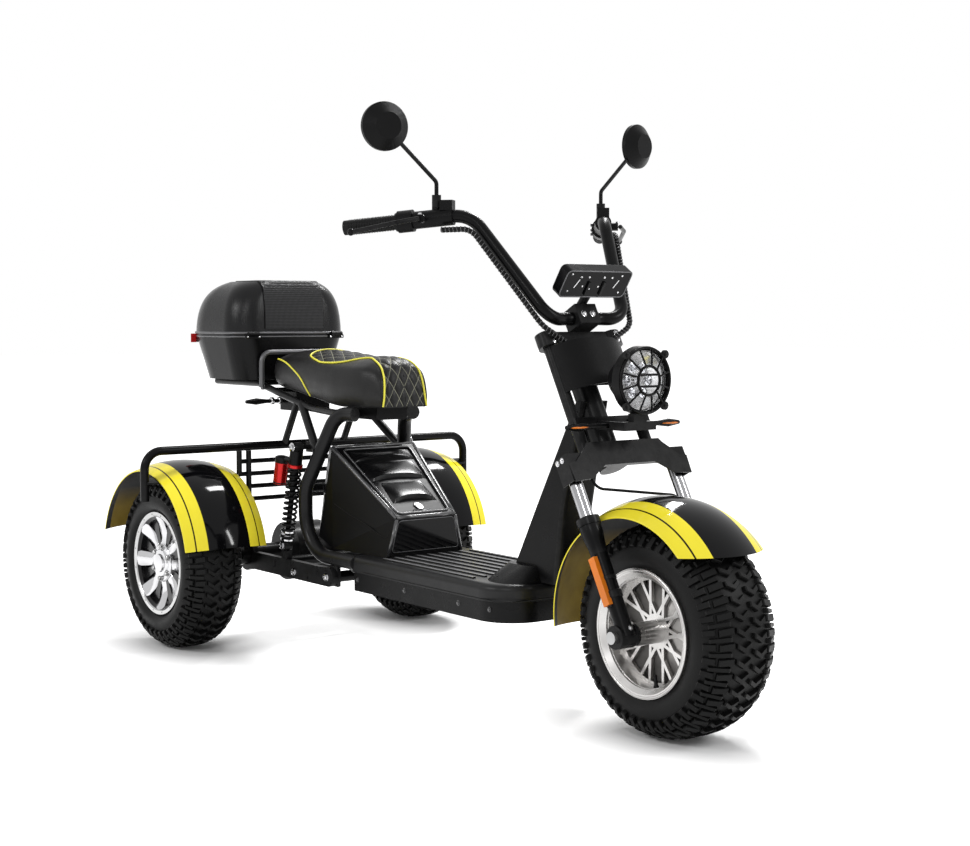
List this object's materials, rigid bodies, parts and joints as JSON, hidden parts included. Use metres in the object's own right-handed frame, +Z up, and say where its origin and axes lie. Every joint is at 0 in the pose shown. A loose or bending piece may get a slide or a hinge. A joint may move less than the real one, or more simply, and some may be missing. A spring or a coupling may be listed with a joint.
{
  "type": "motorized trike",
  "caption": "Electric three-wheeled chopper scooter: raked fork with a fat lattice-spoke wheel, high bars, low deck, saddle, top case and a pair of fat driven rear wheels.",
  "frame": {"origin": "on the floor, under the middle of the bounding box", "axes": "+X forward, +Y to the rider's left, +Z up"},
  "size_m": [2.0703, 1.016, 1.31],
  "materials": {
    "tyre_black": "matt, knobby",
    "polished_alloy": "polished",
    "chrome": "mirror bright",
    "gloss_black": "gloss",
    "satin_black": "satin powder coat",
    "matt_black": "matt, fine grain",
    "case_grey": "matt, leather grain",
    "deck_black": "satin",
    "leather_black": "satin, stitched",
    "black_rubber": "matt",
    "clear_glass": "clear",
    "screen": "gloss",
    "red_alloy": "red anodised",
    "amber": "clear tinted",
    "red_lens": "clear tinted",
    "steel": "bright",
    "spring_steel": "gloss"
  },
  "bodies": {
    "chassis": {"battery": "matt_black", "battery_box": "gloss_black", "case_base": "case_grey", "case_hinges": "matt_black", "case_reflector": "red_lens", "deck_board": "deck_black", "deck_pan": "gloss_black", "grab_loop": "chrome", "main_frame": "satin_black", "motor_housing": "satin_black", "neck": "satin_black", "neck_collar": "matt_black", "rear_axle": "steel", "rear_fender_left": "gloss_black", "rear_fender_right": "gloss_black", "rear_hoop": "satin_black", "rear_signals": "matt_black", "rear_slats": "satin_black", "seat": "leather_black", "seat_base": "matt_black", "shock_dampers": "steel", "shock_reservoirs": "red_alloy", "shock_springs": "spring_steel", "swing_arm": "satin_black", "tail_block": "matt_black"},
    "steering": {"yoke": "satin_black", "top_clamp": "satin_black", "fork_stanchions": "chrome", "fork_upper_tubes": "satin_black", "fork_sliders": "satin_black", "front_axle": "chrome", "front_fender": "gloss_black", "handlebar": "satin_black", "bar_clamp": "satin_black", "grips": "black_rubber", "switch_pods": "matt_black", "lever_perches": "satin_black", "brake_levers": "satin_black", "mirror_stalks": "satin_black", "mirror_heads": "gloss_black", "display": "screen", "headlight_shell": "gloss_black", "headlight_lens": "clear_glass", "headlight_guard": "satin_black", "lamp_bracket": "satin_black", "front_signals": "matt_black", "front_shroud": "satin_black", "control_cables": "black_rubber", "brake_hose": "black_rubber", "fork_reflectors": "amber"},
    "front_wheel": {"front_tyre": "tyre_black", "front_rim": "polished_alloy"},
    "rear_wheel_right": {"rear_tyre_right": "tyre_black", "rear_rim_right": "chrome"},
    "rear_wheel_left": {"rear_tyre_left": "tyre_black", "rear_rim_left": "chrome"},
    "case_lid": {"case_lid": "case_grey"},
    "battery_lid": {"battery_lid": "gloss_black", "lid_lock": "chrome"}
  },
  "joints": [
    {"name": "steering", "type": "hinge", "parent": "chassis", "child": "steering", "pos_m": [0.7986, 0, 0.2065], "axis": [-0.4772, 0, 0.8788], "range_deg": [-35, 35]},
    {"name": "front_wheel", "type": "hinge", "parent": "steering", "child": "front_wheel", "pos_m": [0.81315, 0, 0.222], "axis": [0, 1, 0], "continuous": true},
    {"name": "rear_wheel_right", "type": "hinge", "parent": "chassis", "child": "rear_wheel_right", "pos_m": [-0.64885, -0.365, 0.222], "axis": [0, 1, 0], "continuous": true},
    {"name": "rear_wheel_left", "type": "hinge", "parent": "chassis", "child": "rear_wheel_left", "pos_m": [-0.64885, 0.365, 0.222], "axis": [0, 1, 0], "continuous": true},
    {"name": "case_lid", "type": "hinge", "parent": "chassis", "child": "case_lid", "pos_m": [-0.67355, 0, 0.808], "axis": [0, 1, 0], "range_deg": [0, 75]},
    {"name": "battery_lid", "type": "hinge", "parent": "chassis", "child": "battery_lid", "pos_m": [-0.31411, 0, 0.528], "axis": [0, -1, 0], "range_deg": [0, 46]}
  ]
}
